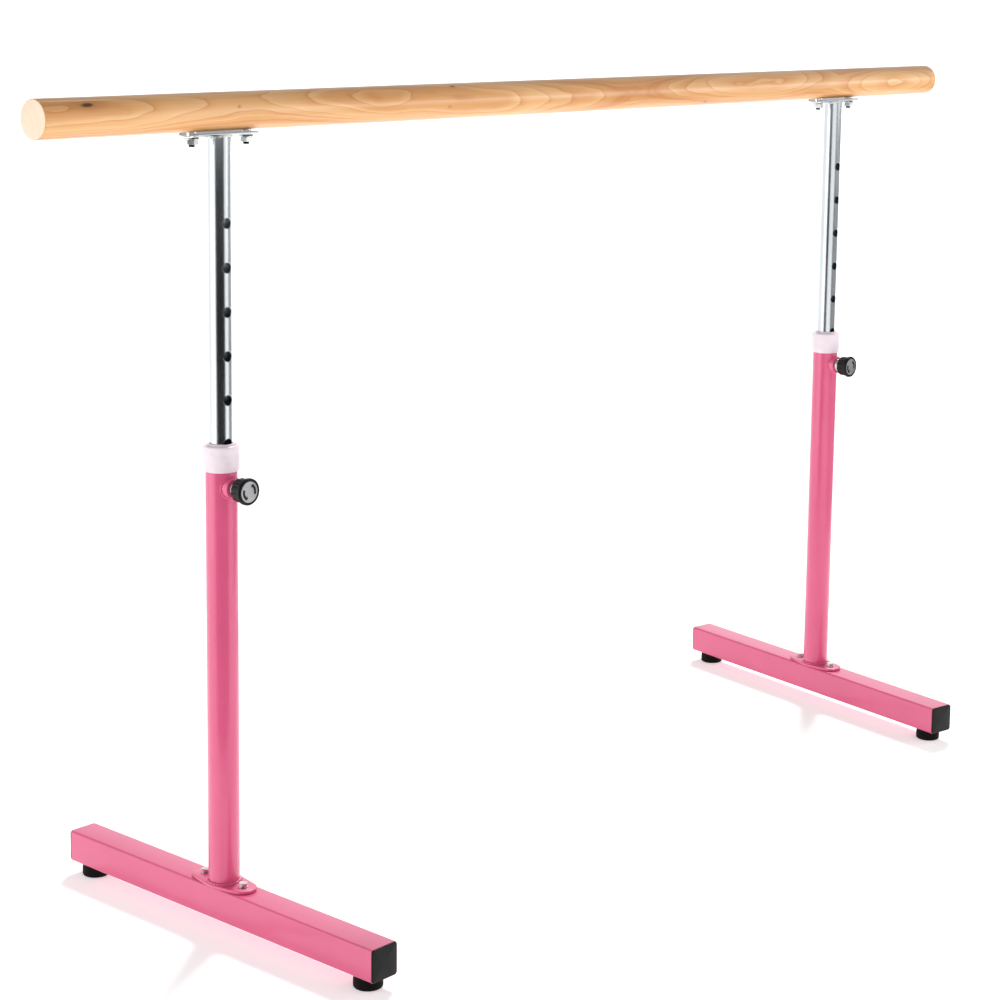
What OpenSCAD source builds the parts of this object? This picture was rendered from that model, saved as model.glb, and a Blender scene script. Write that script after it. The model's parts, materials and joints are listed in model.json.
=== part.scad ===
// Height-adjustable ballet barre: a round wooden bar on two free-standing inverted-T stands.
// Origin on the floor midway between the stands, +X along the bar, -Y to the knobs, +Z up.

/* [Bar] */
// Diameter of the wooden bar
bar_d = 45; // [38:0.5:50]
// Length of the wooden bar
bar_len = 1768; // [1500:1:2400]
// Height of the bar's axis at the highest setting
bar_z = 987.5; // [960:0.5:1050]
// Rounding of the bar's end edges
bar_edge = 1.2; // [0.5:0.1:3]

/* [Stands] */
// Distance of each stand's axis from the middle of the barre
stand_x = 624; // [450:1:700]
// Side of the square base tube
base_side = 40; // [38:1:50]
// Overall length of a base, end caps included
base_len = 550; // [400:5:700]
// Wall of the base tube
base_wall = 1.5; // [1.2:0.1:2]
// Outer corner radius of the base tube
base_corner = 3; // [2:0.5:4]
// Turn of the right base about its post, in degrees
right_base_turn = -10.9; // [-12:0.1:12]
// Outer diameter of the post
post_d = 38.1; // [38:0.1:39]
// Wall of the post
post_wall = 1.5; // [1.2:0.1:1.6]
// Height of the post's upper end
post_top = 590; // [588:1:592]

/* [Feet] */
// Diameter of a rubber foot
foot_d = 35; // [30:1:38]
// Height of a rubber foot
foot_h = 16; // [14:1:20]
// Distance of a foot's axis from the end of its base
foot_inset = 27; // [22:1:40]

/* [Height adjustment] */
// Outer diameter of the sliding tube
tube_d = 26.9; // [26.5:0.1:27]
// Wall of the sliding tube
tube_wall = 1.5; // [1.2:0.1:2]
// Height of the pin's axis
pin_z = 547; // [545:1:549]
// Distance between two height settings
hole_pitch = 52; // [40:1:52]
// Number of height settings
hole_count = 7; // [3:1:7]
// Diameter of the adjustment holes
hole_d = 12.4; // [11:0.1:12.6]

/* [Bar saddle] */
// Length of the saddle along the bar
saddle_len = 99; // [94:1:120]
// Width of the saddle across the bar
saddle_w = 33; // [28:1:36]
// Thickness of the saddle's sheet
saddle_t = 2.5; // [2:0.1:3]
// Inner radius of the saddle's curve
saddle_r = 32; // [30:1:40]
// Gap between the bar and the middle of the saddle
saddle_gap = 4.5; // [3:0.1:6]
// Distance of each stud from the tube's axis
stud_x = 41; // [36:1:41]

/* [Hidden] */
$fn = 96;

// Sides of the barre
left = -1;
right = 1;

// General clearance of a close fit, and a little extra length for cuts
fit = 0.05;
cut = 1;

// Base
base_top = foot_h + base_side;
cap_plate = 2;
cap_plug_len = 14;
cap_wall = 2;
cap_corner = 4;
tube_len = base_len - 2 * cap_plate;
foot_y = base_len / 2 - foot_inset;

// Foot screw, M5, with its nut inside the base tube
foot_screw_r = 2.5;
foot_screw_head_r = 4.75;
foot_screw_head_h = 3;
foot_screw_top = foot_h + 11;
foot_recess_r = 6.5;
foot_recess_h = 6;
foot_round = 2.5;
foot_nut_flats = 8;
foot_nut_h = 4.5;

// Two-bolt plate between post and base, M6
plate_t = 4;
plate_mid_r = 22.5;
plate_end_r = 16.5;
plate_bolt_y = 34;
plate_top = base_top + plate_t;
bolt_r = 3;
bolt_flats = 10;
bolt_head_h = 4;
bolt_washer_r = 6;
bolt_washer_t = 1.2;
bolt_len = 22;
bolt_nut_h = 5;
bolt_hole_r = 3.4;

// Post and collar
post_r = post_d / 2;
post_bore_r = post_r - post_wall;
tube_r = tube_d / 2;
sleeve_clear = 0.1;
sleeve_bore_r = tube_r + sleeve_clear;
sleeve_r = post_bore_r - fit;
sleeve_bottom = pin_z - 42;
collar_r = 21.75;
collar_bottom = post_top - 24;
collar_top = post_top + 7;
collar_step = 0.9;
collar_step_h = 2.2;
collar_round = 2.5;
lip_r = 16.2;
lip_h = 2;

// Pull pin, all distances measured outwards from the post's axis
pin_r = 5;
pin_tip = 7;
pin_tip_taper = 1.5;
stem_r = 3;
pin_collar_r = 6.6;
pin_collar_at = 24.4;
pin_collar_t = 1.9;
pin_spring_at = pin_collar_at + pin_collar_t;
boss_r = 13;
boss_end = 24;
bushing_r = 8;
bushing_start = post_r + 0.15;
bushing_shoulder_r = 9.5;
bushing_shoulder_end = 31;
bushing_neck_r = 8.6;
bushing_end = 44.5;
chamber_r = 7;
chamber_start = 24.3;
chamber_end = 42.3;
post_pin_hole_r = 5.5;

// Knob, measured along the pin as above
knob_back = 31.7;
knob_front = 49.5;
knob_grip_r = 14.8;
knob_rim_r = 16.2;
knob_rim_w = 5;
knob_round = 1.5;
knob_cavity_r = 10;
knob_cavity_end = 45.3;
knob_stem_end = 48.3;
knob_flutes = 12;
flute_r = 3;
flute_depth = 0.8;
disc_r = 12.6;
disc_t = 0.5;
disc_recess = 0.8;

// Spring around the pin's stem
spring_r = 4.7;
spring_wire_r = 0.5;
spring_turns = 6;
spring_steps = 16;
spring_sides = 6;

// Sliding tube
tube_bore_r = tube_r - tube_wall;
tube_bottom = 384;
glide_r = post_bore_r - 0.15;
glide_plate = 4;
glide_up = 16;
glide_plug_up = 12;

// Saddle and its fasteners, M8
bar_r = bar_d / 2;
saddle_out_r = saddle_r + saddle_t;
saddle_low = bar_z - bar_r - saddle_gap - saddle_t;
saddle_axis_z = saddle_low + saddle_out_r;
saddle_corner = 6;
stud_r = 4;
stud_depth = 28;
stud_washer_r = 8.5;
stud_washer_t = 1.2;
stud_nut_flats = 13;
stud_nut_h = 5.8;
stud_below = 9.8;
spacer_r = 6.5;

// ---------------------------------------------------------------- shapes used more than once

// Circumradius of a hexagon from its width across flats
function hex_r(flats) = flats / 2 / cos(30);

// Points of a quarter circle of radius r about centre c, from angle a to angle a + 90
function quarter(c, r, a) = [for (i = [0:6]) c + r * [cos(a + 15 * i), sin(a + 15 * i)]];

module stand_place(side) {
    translate([side * stand_x, 0, 0]) children();
}

// As stand_place, and turned with that side's base
module base_place(side) {
    stand_place(side) rotate([0, 0, side == right ? right_base_turn : 0]) children();
}

// Turns local +Z into the pin's outward direction, -Y
module pin_place(side) {
    translate([side * stand_x, 0, pin_z]) rotate([90, 0, 0]) children();
}

module rounded_square(w, h, r) {
    square([w, h - 2 * r], center = true);
    square([w - 2 * r, h], center = true);
    for (sx = [-1, 1], sy = [-1, 1]) {
        translate([sx * (w / 2 - r), sy * (h / 2 - r)]) circle(r);
    }
}

// Puts children at both ends of a base
module both_ends(y) {
    for (s = [-1, 1]) {
        translate([0, s * y, 0]) children();
    }
}

// Puts children at both studs of a saddle
module both_studs(side) {
    for (s = [-1, 1]) {
        translate([side * stand_x + s * stud_x, 0, 0]) children();
    }
}

module hex_nut(flats, h, bore_r) {
    difference() {
        cylinder(r = hex_r(flats), h = h, $fn = 6);
        translate([0, 0, -cut]) cylinder(r = bore_r, h = h + 2 * cut);
    }
}

// A solid bar along X, used as a part and as a cutter
module x_cylinder(r, len) {
    rotate([0, 90, 0]) cylinder(r = r, h = len, center = true);
}

// ---------------------------------------------------------------- stands

module base_tube(side) {
    color("hotpink")
    base_place(side)
    difference() {
        translate([0, 0, foot_h + base_side / 2])
        rotate([90, 0, 0])
        linear_extrude(tube_len, center = true)
        difference() {
            rounded_square(base_side, base_side, base_corner);
            rounded_square(base_side - 2 * base_wall, base_side - 2 * base_wall, base_corner - base_wall);
        }
        both_ends(foot_y) {
            translate([0, 0, foot_h - cut]) cylinder(r = foot_screw_r + 0.3, h = base_wall + 2 * cut);
        }
        both_ends(plate_bolt_y) {
            translate([0, 0, base_top - base_wall - cut]) cylinder(r = bolt_hole_r, h = base_wall + 2 * cut);
        }
    }
}

module end_caps(side) {
    plug_side = base_side - 2 * base_wall - 0.2;
    color("dimgray")
    base_place(side)
    for (s = [-1, 1]) {
        translate([0, s * base_len / 2, foot_h + base_side / 2])
        rotate([s * 90, 0, 0]) {
            linear_extrude(cap_plate) rounded_square(base_side, base_side, cap_corner);
            translate([0, 0, cap_plate])
            linear_extrude(cap_plug_len)
            difference() {
                rounded_square(plug_side, plug_side, base_corner);
                rounded_square(plug_side - 2 * cap_wall, plug_side - 2 * cap_wall, 1);
            }
        }
    }
}

module feet(side) {
    r = foot_d / 2;
    bore = foot_screw_r + 0.3;
    lower_edge = quarter([r - foot_round, foot_round], foot_round, -90);
    color("dimgray")
    base_place(side)
    both_ends(foot_y)
    rotate_extrude()
    polygon(concat(
        [[bore, foot_recess_h], [foot_recess_r, foot_recess_h], [foot_recess_r, 0]],
        lower_edge,
        [[r - 0.6, foot_h], [bore, foot_h]]
    ));
}

module foot_screws(side) {
    color("silver")
    base_place(side)
    both_ends(foot_y) {
        translate([0, 0, foot_recess_h - foot_screw_head_h])
        cylinder(r = foot_screw_head_r, h = foot_screw_head_h);
        translate([0, 0, foot_recess_h]) cylinder(r = foot_screw_r, h = foot_screw_top - foot_recess_h);
    }
}

module foot_nuts(side) {
    color("silver")
    base_place(side)
    both_ends(foot_y)
    translate([0, 0, foot_h + base_wall]) hex_nut(foot_nut_flats, foot_nut_h, foot_screw_r + fit);
}

// Outline with a wide middle and a round lobe at each bolt, its straight sides all but tangent
module plate_outline() {
    lean = asin((plate_mid_r - plate_end_r) / plate_bolt_y);
    mid_corner = (plate_mid_r - fit) * [cos(lean), sin(lean)];
    end_corner = [0, plate_bolt_y] + (plate_end_r - fit) * [cos(lean), sin(lean)];
    circle(plate_mid_r);
    both_ends(plate_bolt_y) circle(plate_end_r);
    polygon([
        mid_corner,
        end_corner,
        [-end_corner[0], end_corner[1]],
        [-mid_corner[0], mid_corner[1]],
        -mid_corner,
        -end_corner,
        [end_corner[0], -end_corner[1]],
        [mid_corner[0], -mid_corner[1]]
    ]);
}

module flange_plate(side) {
    color("hotpink")
    base_place(side)
    difference() {
        translate([0, 0, base_top]) linear_extrude(plate_t) plate_outline();
        both_ends(plate_bolt_y) {
            translate([0, 0, base_top - cut]) cylinder(r = bolt_hole_r, h = plate_t + 2 * cut);
        }
    }
}

module flange_bolts(side) {
    color("silver")
    base_place(side)
    both_ends(plate_bolt_y)
    translate([0, 0, plate_top]) {
        cylinder(r = bolt_washer_r, h = bolt_washer_t);
        translate([0, 0, bolt_washer_t]) cylinder(r = hex_r(bolt_flats), h = bolt_head_h, $fn = 6);
        translate([0, 0, bolt_washer_t - bolt_len]) cylinder(r = bolt_r, h = bolt_len);
    }
}

module flange_nuts(side) {
    color("silver")
    base_place(side)
    both_ends(plate_bolt_y)
    translate([0, 0, base_top - base_wall - bolt_nut_h]) hex_nut(bolt_flats, bolt_nut_h, bolt_r + fit);
}

module post(side) {
    color("hotpink")
    difference() {
        stand_place(side)
        difference() {
            translate([0, 0, plate_top]) cylinder(r = post_r, h = post_top - plate_top);
            translate([0, 0, plate_top - cut]) cylinder(r = post_bore_r, h = post_top - plate_top + 2 * cut);
        }
        pin_place(side) cylinder(r = post_pin_hole_r, h = boss_end);
    }
}

// Cap over the post's upper end, in one piece with the sleeve that guides the tube
module collar(side) {
    shoulder = quarter([collar_r - collar_round, collar_top - collar_round], collar_round, 0);
    color("lavenderblush")
    difference() {
        stand_place(side)
        rotate_extrude()
        polygon(concat(
            [
                [sleeve_bore_r, sleeve_bottom],
                [sleeve_r, sleeve_bottom],
                [sleeve_r, post_top],
                [post_r + fit, post_top],
                [post_r + fit, collar_bottom],
                [collar_r - collar_step, collar_bottom],
                [collar_r - collar_step, collar_bottom + collar_step_h],
                [collar_r, collar_bottom + collar_step_h]
            ],
            shoulder,
            [
                [lip_r, collar_top],
                [lip_r, collar_top + lip_h],
                [sleeve_bore_r, collar_top + lip_h]
            ]
        ));
        pin_place(side) cylinder(r = post_pin_hole_r, h = boss_end);
    }
}

// ---------------------------------------------------------------- pull pins

module pin_boss(side) {
    color("hotpink")
    difference() {
        pin_place(side)
        difference() {
            cylinder(r = boss_r, h = boss_end);
            cylinder(r = bushing_r + fit, h = boss_end + cut);
        }
        stand_place(side) cylinder(r = post_r, h = post_top);
    }
}

module pin_bushing(side) {
    color("silver")
    pin_place(side)
    rotate_extrude()
    polygon([
        [pin_r + fit, bushing_start],
        [bushing_r, bushing_start],
        [bushing_r, boss_end],
        [bushing_shoulder_r, boss_end],
        [bushing_shoulder_r, bushing_shoulder_end],
        [bushing_neck_r, bushing_shoulder_end],
        [bushing_neck_r, bushing_end],
        [stem_r + fit, bushing_end],
        [stem_r + fit, chamber_end],
        [chamber_r, chamber_end],
        [chamber_r, chamber_start],
        [pin_r + fit, chamber_start]
    ]);
}

// One ring of points around the spring's wire, at turn t
function spring_ring(t, start, rise) = [
    for (k = [0:spring_sides - 1])
    let (a = 360 * k / spring_sides, r = spring_r + spring_wire_r * cos(a))
    [r * cos(360 * t), r * sin(360 * t), start + rise * t + spring_wire_r * sin(a)]
];

// Skin between ring i and ring i + 1
function spring_skin(i) = [
    for (k = [0:spring_sides - 1])
    let (next = (k + 1) % spring_sides)
    [
        i * spring_sides + k,
        (i + 1) * spring_sides + k,
        (i + 1) * spring_sides + next,
        i * spring_sides + next
    ]
];

module pin_spring(side) {
    rings = spring_turns * spring_steps;
    start = pin_spring_at + spring_wire_r + fit;
    rise = (chamber_end - pin_spring_at - 2 * (spring_wire_r + fit)) / spring_turns;
    points = [for (i = [0:rings]) each spring_ring(i / spring_steps, start, rise)];
    skin = [for (i = [0:rings - 1]) each spring_skin(i)];
    first_end = [for (k = [0:spring_sides - 1]) k];
    last_end = [for (k = [spring_sides - 1:-1:0]) rings * spring_sides + k];
    color("gray")
    pin_place(side) polyhedron(points, concat(skin, [first_end, last_end]));
}

module pin(side) {
    color("silver")
    pin_place(side)
    rotate_extrude()
    polygon([
        [0, pin_tip],
        [pin_r - pin_tip_taper, pin_tip],
        [pin_r, pin_tip + pin_tip_taper],
        [pin_r, pin_collar_at],
        [pin_collar_r, pin_collar_at],
        [pin_collar_r, pin_spring_at],
        [stem_r, pin_spring_at],
        [stem_r, knob_stem_end - fit],
        [0, knob_stem_end - fit]
    ]);
}

// Outline of the knob's grip, with its finger flutes
module grip_outline() {
    difference() {
        circle(knob_grip_r);
        for (i = [0:knob_flutes - 1]) {
            rotate([0, 0, (i + 0.5) * 360 / knob_flutes])
            translate([knob_grip_r - flute_depth + flute_r, 0, 0])
            circle(flute_r);
        }
    }
}

module knob(side) {
    rim_start = knob_front - knob_rim_w;
    color("dimgray")
    pin_place(side)
    difference() {
        union() {
            translate([0, 0, knob_back]) linear_extrude(rim_start - knob_back + fit) grip_outline();
            rotate_extrude()
            polygon(concat(
                [[0, rim_start], [knob_rim_r - 0.4, rim_start], [knob_rim_r, rim_start + 0.4]],
                quarter([knob_rim_r - knob_round, knob_front - knob_round], knob_round, 0),
                [[0, knob_front]]
            ));
        }
        translate([0, 0, knob_back - cut]) cylinder(r = knob_cavity_r, h = knob_cavity_end - knob_back + cut);
        translate([0, 0, knob_back]) cylinder(r = stem_r + fit, h = knob_stem_end - knob_back);
        translate([0, 0, knob_front - disc_recess]) cylinder(r = disc_r + fit, h = disc_recess + cut);
    }
}

module knob_disc(side) {
    color("silver")
    pin_place(side)
    translate([0, 0, knob_front - disc_recess]) cylinder(r = disc_r, h = disc_t);
}

// ---------------------------------------------------------------- barre

module bar() {
    end = bar_len / 2;
    color("burlywood")
    difference() {
        translate([0, 0, bar_z])
        rotate([0, 90, 0])
        rotate_extrude()
        polygon(concat(
            [[0, -end], [bar_r - bar_edge, -end], [bar_r, -end + bar_edge]],
            [[bar_r, end - bar_edge], [bar_r - bar_edge, end], [0, end]]
        ));
        for (side = [left, right]) {
            both_studs(side)
            translate([0, 0, bar_z - bar_r - cut]) cylinder(r = stud_r + fit, h = stud_depth + cut);
        }
    }
}

module tube(side) {
    color("gainsboro")
    difference() {
        stand_place(side)
        difference() {
            translate([0, 0, tube_bottom]) cylinder(r = tube_r, h = saddle_axis_z - tube_bottom);
            translate([0, 0, tube_bottom - cut]) cylinder(r = tube_bore_r, h = bar_z - tube_bottom);
        }
        for (i = [0:hole_count - 1]) {
            translate([0, 0, i * hole_pitch]) pin_place(side) cylinder(r = hole_d / 2, h = tube_r + cut);
        }
        translate([side * stand_x, 0, saddle_axis_z]) x_cylinder(saddle_out_r, saddle_len);
    }
}

// Plastic end piece that plugs the tube and centres it in the post
module tube_glide(side) {
    color("whitesmoke")
    stand_place(side)
    translate([0, 0, tube_bottom - glide_plate]) {
        cylinder(r = glide_r, h = glide_plate);
        translate([0, 0, glide_plate]) cylinder(r = tube_bore_r - fit, h = glide_plug_up);
        difference() {
            cylinder(r = glide_r, h = glide_plate + glide_up);
            cylinder(r = tube_r + fit, h = glide_plate + glide_up + cut);
        }
    }
}

// Curved sheet under the bar, welded to the tube
module saddle(side) {
    color("gainsboro")
    difference() {
        intersection() {
            translate([side * stand_x, 0, saddle_axis_z])
            difference() {
                x_cylinder(saddle_out_r, saddle_len);
                x_cylinder(saddle_r, saddle_len + 2 * cut);
            }
            stand_place(side)
            translate([0, 0, saddle_low - cut])
            linear_extrude(saddle_out_r / 2)
            rounded_square(saddle_len, saddle_w, saddle_corner);
        }
        both_studs(side)
        translate([0, 0, saddle_low - cut]) cylinder(r = stud_r + 0.3, h = saddle_t + 2 * cut);
    }
}

// Washers shaped to the saddle below and the bar above
module spacers(side) {
    color("dimgray")
    difference() {
        intersection() {
            both_studs(side) translate([0, 0, saddle_low]) cylinder(r = spacer_r, h = saddle_gap + bar_r / 2);
            translate([side * stand_x, 0, saddle_axis_z]) x_cylinder(saddle_r, saddle_len);
        }
        translate([side * stand_x, 0, bar_z]) x_cylinder(bar_r, saddle_len + 2 * cut);
        both_studs(side)
        translate([0, 0, saddle_low - cut]) cylinder(r = stud_r + 0.3, h = stud_depth);
    }
}

module studs(side) {
    stud_low = saddle_low - stud_below;
    color("gray")
    both_studs(side)
    translate([0, 0, stud_low]) cylinder(r = stud_r, h = bar_z - bar_r + stud_depth - fit - stud_low);
}

module stud_washers(side) {
    color("silver")
    both_studs(side)
    translate([0, 0, saddle_low - stud_washer_t])
    difference() {
        cylinder(r = stud_washer_r, h = stud_washer_t);
        translate([0, 0, -cut]) cylinder(r = stud_r + 0.2, h = stud_washer_t + 2 * cut);
    }
}

module stud_nuts(side) {
    color("silver")
    both_studs(side)
    translate([0, 0, saddle_low - stud_washer_t - stud_nut_h])
    hex_nut(stud_nut_flats, stud_nut_h, stud_r + fit);
}

// ---------------------------------------------------------------- one line per sub-part

base_tube(left);  // left_base_tube
end_caps(left);  // left_end_caps
feet(left);  // left_feet
foot_screws(left);  // left_foot_screws
foot_nuts(left);  // left_foot_nuts
flange_plate(left);  // left_flange_plate
flange_bolts(left);  // left_flange_bolts
flange_nuts(left);  // left_flange_nuts
post(left);  // left_post
collar(left);  // left_collar
pin_boss(left);  // left_pin_boss
pin_bushing(left);  // left_pin_bushing
pin_spring(left);  // left_pin_spring
pin(left);  // left_pin
knob(left);  // left_knob
knob_disc(left);  // left_knob_disc
base_tube(right);  // right_base_tube
end_caps(right);  // right_end_caps
feet(right);  // right_feet
foot_screws(right);  // right_foot_screws
foot_nuts(right);  // right_foot_nuts
flange_plate(right);  // right_flange_plate
flange_bolts(right);  // right_flange_bolts
flange_nuts(right);  // right_flange_nuts
post(right);  // right_post
collar(right);  // right_collar
pin_boss(right);  // right_pin_boss
pin_bushing(right);  // right_pin_bushing
pin_spring(right);  // right_pin_spring
pin(right);  // right_pin
knob(right);  // right_knob
knob_disc(right);  // right_knob_disc
bar();
tube(left);  // left_tube
tube_glide(left);  // left_tube_glide
saddle(left);  // left_saddle
spacers(left);  // left_spacers
studs(left);  // left_studs
stud_washers(left);  // left_stud_washers
stud_nuts(left);  // left_stud_nuts
tube(right);  // right_tube
tube_glide(right);  // right_tube_glide
saddle(right);  // right_saddle
spacers(right);  // right_spacers
studs(right);  // right_studs
stud_washers(right);  // right_stud_washers
stud_nuts(right);  // right_stud_nuts
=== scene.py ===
"""Looks of the height-adjustable ballet barre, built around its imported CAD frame.

Shapes are worked out in millimetres, in the frame's own axes, and stored in metres.
"""

import json
import math

import bpy
from mathutils import Matrix, Vector, noise


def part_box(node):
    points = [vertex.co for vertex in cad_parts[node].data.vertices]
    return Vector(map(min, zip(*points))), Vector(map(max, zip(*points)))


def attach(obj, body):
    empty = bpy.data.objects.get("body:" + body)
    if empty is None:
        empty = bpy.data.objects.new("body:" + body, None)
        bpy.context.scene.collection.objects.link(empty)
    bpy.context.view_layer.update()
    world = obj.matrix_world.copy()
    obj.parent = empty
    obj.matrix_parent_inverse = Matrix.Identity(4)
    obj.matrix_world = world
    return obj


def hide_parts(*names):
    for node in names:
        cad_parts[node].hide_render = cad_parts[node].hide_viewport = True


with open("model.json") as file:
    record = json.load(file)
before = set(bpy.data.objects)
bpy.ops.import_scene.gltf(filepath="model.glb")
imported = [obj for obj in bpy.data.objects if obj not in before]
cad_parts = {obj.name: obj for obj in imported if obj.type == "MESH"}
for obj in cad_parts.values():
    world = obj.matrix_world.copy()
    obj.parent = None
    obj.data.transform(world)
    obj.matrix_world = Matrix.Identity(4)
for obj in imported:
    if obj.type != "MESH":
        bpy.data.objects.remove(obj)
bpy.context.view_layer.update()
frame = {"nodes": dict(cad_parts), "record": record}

MM = 0.001
TURN = 2 * math.pi
SIDES = ("left", "right")

# ---------------------------------------------------------------- sizes, from the frame


def box_mm(node):
    low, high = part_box(node)
    return low / MM, high / MM


def middle(node):
    low, high = box_mm(node)
    return (low + high) / 2


def radius(node, axis=0):
    low, high = box_mm(node)
    return (high[axis] - low[axis]) / 2


STAND_X = {side: middle(side + "_post").x for side in SIDES}
POST_R = radius("left_post")
POST_FOOT, POST_TOP = (corner.z for corner in box_mm("left_post"))
COLLAR_LOW, COLLAR_HIGH = (corner.z for corner in box_mm("left_collar"))
COLLAR_R = radius("left_collar")
TUBE_R = radius("left_tube")
TUBE_LOW = box_mm("left_tube")[0].z
PIN_Z = middle("left_knob_disc").z
BAR_R = radius("bar", 1)
BAR_Z = middle("bar").z
BAR_END = radius("bar", 0)
BASE_W = radius("left_base_tube")
BASE_LOW, BASE_TOP = (corner.z for corner in box_mm("left_base_tube"))
BASE_Y = radius("left_base_tube", 1)
BASE_END = radius("left_end_caps", 1)
PLATE_TOP = box_mm("left_flange_plate")[1].z
PLATE_MID_R = radius("left_flange_plate")
FOOT_R = radius("left_feet")
FOOT_Y = radius("left_feet", 1) - FOOT_R
SADDLE_LOW = box_mm("left_saddle")[0].z
SADDLE_X = radius("left_saddle")
SADDLE_Y = radius("left_saddle", 1)
STUD_R = radius("left_studs", 1)
STUD_X = radius("left_studs") - STUD_R
STUD_LOW = box_mm("left_studs")[0].z
NUT_LOW, NUT_TOP = (corner.z for corner in box_mm("left_stud_nuts"))
NUT_FLATS = 2 * radius("left_stud_nuts", 1)
KNOB_FRONT = -box_mm("left_knob")[0].y
KNOB_BACK = -box_mm("left_knob")[1].y
KNOB_R = radius("left_knob")
DISC_R = radius("left_knob_disc")
DISC_FRONT = -box_mm("left_knob_disc")[0].y
BOSS_R = radius("left_pin_boss")
BOSS_END = -box_mm("left_pin_boss")[0].y
BUSHING_R = radius("left_pin_bushing")
BUSHING_START, BUSHING_END = -box_mm("left_pin_bushing")[1].y, -box_mm("left_pin_bushing")[0].y
BOLT_Y = radius("left_flange_bolts", 1) - radius("left_flange_bolts")
WASHER_R = radius("left_flange_bolts")
BOLT_TOP = box_mm("left_flange_bolts")[1].z

# Sizes of the design that no box shows
BASE_TURN = {"left": 0.0, "right": math.radians(-10.9)}
TUBE_WALL = 1.5
HOLE_R = 6.2
HOLE_PITCH = 52
HOLE_COUNT = 7
HOLE_EDGE = 0.5
POST_WALL = 1.5
SLEEVE_BORE_R = TUBE_R + 0.1
SLEEVE_R = POST_R - POST_WALL - 0.05
SADDLE_SHEET = 2.5
SADDLE_OUT_R = 34.5
BASE_WALL = 1.5
SADDLE_AXIS_Z = SADDLE_LOW + SADDLE_OUT_R
PLATE_LOBE_R = 16.5
BOSS_BORE_R = 8.05
PIN_BORE_R = 5.05
ROD_BORE_R = 3.05
DISC_RECESS = 0.8

# ---------------------------------------------------------------- mesh helpers


def stand_place(side):
    return Matrix.Translation((STAND_X[side], 0, 0))


def base_place(side):
    return stand_place(side) @ Matrix.Rotation(BASE_TURN[side], 4, "Z")


def pin_place(side):
    """Turns local +Z into the pin's outward direction, -Y."""
    return Matrix.Translation((STAND_X[side], 0, PIN_Z)) @ Matrix.Rotation(math.radians(90), 4, "X")


def at(x=0.0, y=0.0, z=0.0):
    return Matrix.Translation((x, y, z))


def arc(centre, r, start, end, steps=6):
    """Points of an arc round centre, its angles in degrees."""
    angles = [math.radians(start + (end - start) * i / steps) for i in range(steps + 1)]
    return [(centre[0] + r * math.cos(a), centre[1] + r * math.sin(a)) for a in angles]


def rounded(corners, closed=True, steps=4):
    """A polyline through (x, y, r) corners, each corner rounded to its radius r."""
    points = []
    count = len(corners)
    for i, (x, y, r) in enumerate(corners):
        here = Vector((x, y))
        if r <= 0 or (not closed and i in (0, count - 1)):
            points.append((x, y))
            continue
        before = (Vector(corners[i - 1][:2]) - here).normalized()
        after = (Vector(corners[(i + 1) % count][:2]) - here).normalized()
        half = before.angle(after) / 2
        reach = r / math.tan(half)
        centre = here + (before + after).normalized() * (r / math.sin(half))
        first, last = here + before * reach - centre, here + after * reach - centre
        sweep = first.angle_signed(last)
        for k in range(steps + 1):
            turned = first.copy()
            turned.rotate(Matrix.Rotation(-sweep * k / steps, 2))
            points.append(tuple(centre + turned))
    return points


class Skin:
    """Collects vertices and faces of one piece, in millimetres."""

    def __init__(self):
        self.verts = []
        self.faces = []

    def add(self, points):
        start = len(self.verts)
        self.verts.extend(Vector(p) for p in points)
        return list(range(start, len(self.verts)))

    def join(self, a, b, wrap=True):
        """Quads between two rows of equal length."""
        count = len(a)
        for i in range(count if wrap else count - 1):
            k = (i + 1) % count
            self.faces.append((a[i], a[k], b[k], b[i]))

    def rows(self, rows, wrap_rows=False, wrap=True):
        ids = [self.add(row) for row in rows]
        for a, b in zip(ids, ids[1:]):
            self.join(a, b, wrap)
        if wrap_rows:
            self.join(ids[-1], ids[0], wrap)
        return ids

    def cap(self, ids, point):
        """A fan from a closed row to one point."""
        tip = self.add([point])[0]
        for i, a in enumerate(ids):
            self.faces.append((a, ids[(i + 1) % len(ids)], tip))

    def moved(self, matrix, start=0):
        for i in range(start, len(self.verts)):
            self.verts[i] = matrix @ self.verts[i]


def piece(name, skin, body, slot, replaced=(), sharp=32):
    """Makes the Blender object, rides it on its body and gives it its slot's material."""
    mesh = bpy.data.meshes.new(name)
    mesh.from_pydata([v * MM for v in skin.verts], [], skin.faces)
    mesh.validate()
    tidy(mesh)
    for polygon in mesh.polygons:
        polygon.use_smooth = True
    mesh.set_sharp_from_angle(angle=math.radians(sharp))
    made = bpy.data.objects.new(name, mesh)
    bpy.context.scene.collection.objects.link(made)
    made.data.materials.append(MATERIALS[slot])
    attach(made, body)
    if replaced:
        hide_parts(*replaced)
    return made


def split_stretches(outline, length):
    """Splits each stretch of a profile into parts that climb about length each."""
    points = []
    for (r0, z0), (r1, z1) in zip(outline, outline[1:]):
        count = max(1, round(abs(z1 - z0) / length))
        points += [(r0 + (r1 - r0) * k / count, z0 + (z1 - z0) * k / count) for k in range(count)]
    return points + [outline[-1]]


def tidy(mesh):
    """Merges double points and turns every face outwards."""
    import bmesh

    work = bmesh.new()
    work.from_mesh(mesh)
    bmesh.ops.remove_doubles(work, verts=work.verts, dist=1e-7)
    bmesh.ops.dissolve_degenerate(work, edges=work.edges, dist=1e-8)
    bmesh.ops.recalc_face_normals(work, faces=work.faces)
    work.to_mesh(mesh)
    work.free()


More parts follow.
